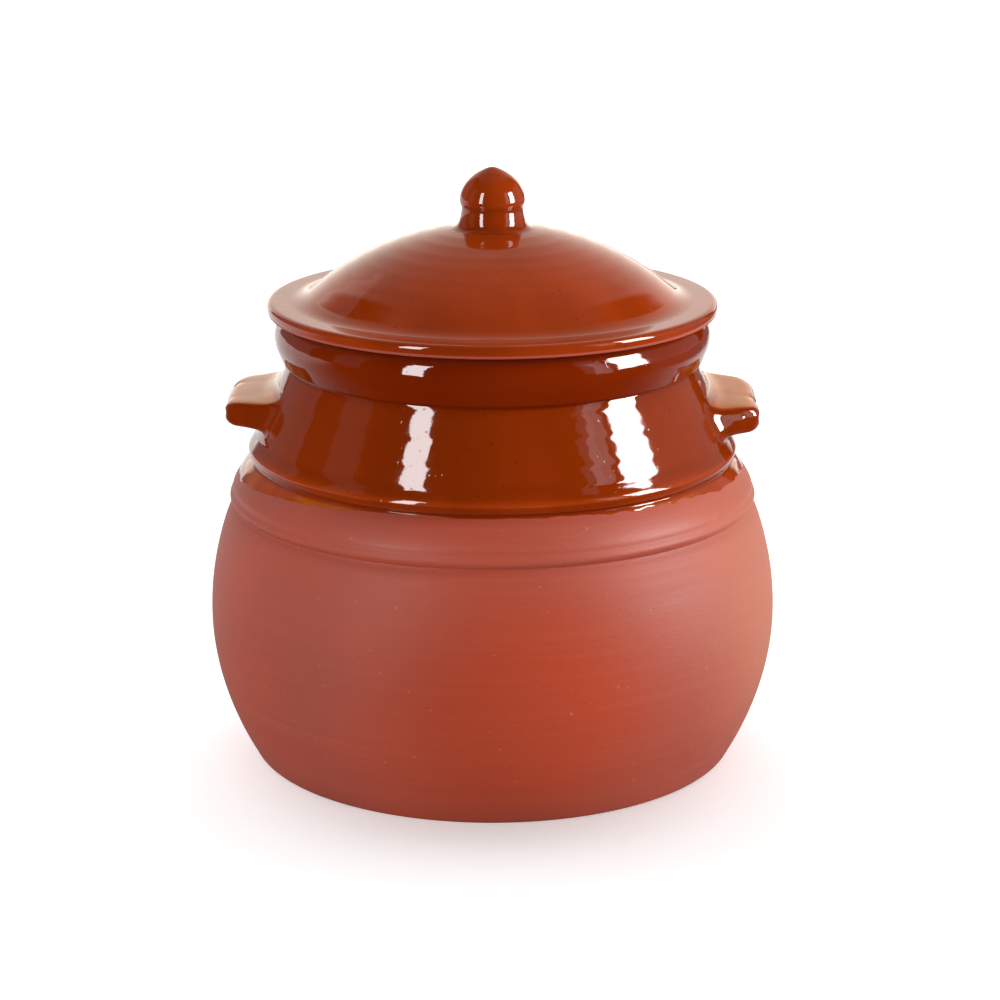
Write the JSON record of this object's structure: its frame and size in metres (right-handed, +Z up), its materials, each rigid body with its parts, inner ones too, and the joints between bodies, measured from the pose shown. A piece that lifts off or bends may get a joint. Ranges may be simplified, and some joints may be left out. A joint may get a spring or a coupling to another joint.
{
  "type": "lidded clay cooking pot",
  "caption": "Round-bellied terracotta casserole pot with a glazed neck and collar, solid lug handles and a domed, knobbed lid that lifts off.",
  "frame": {"origin": "middle of the flat base, on the surface the pot stands on", "axes": "+Z up along the pot's axis, +X through the handles, towards the right-hand one"},
  "size_m": [0.27, 0.27, 0.2802],
  "materials": {
    "terracotta": "matt fired red clay",
    "honey_glaze": "glossy clear honey glaze over red clay"
  },
  "bodies": {
    "pot": {"pot_body": "terracotta", "pot_glaze": "honey_glaze", "left_handle": "honey_glaze", "right_handle": "honey_glaze"},
    "lid": {"lid_body": "terracotta", "lid_glaze": "honey_glaze", "lid_knob": "honey_glaze"}
  },
  "joints": [
    {"name": "lid_lift", "type": "slide", "parent": "pot", "child": "lid", "axis": [0, 0, 1], "range_m": [0, 0.12]}
  ]
}
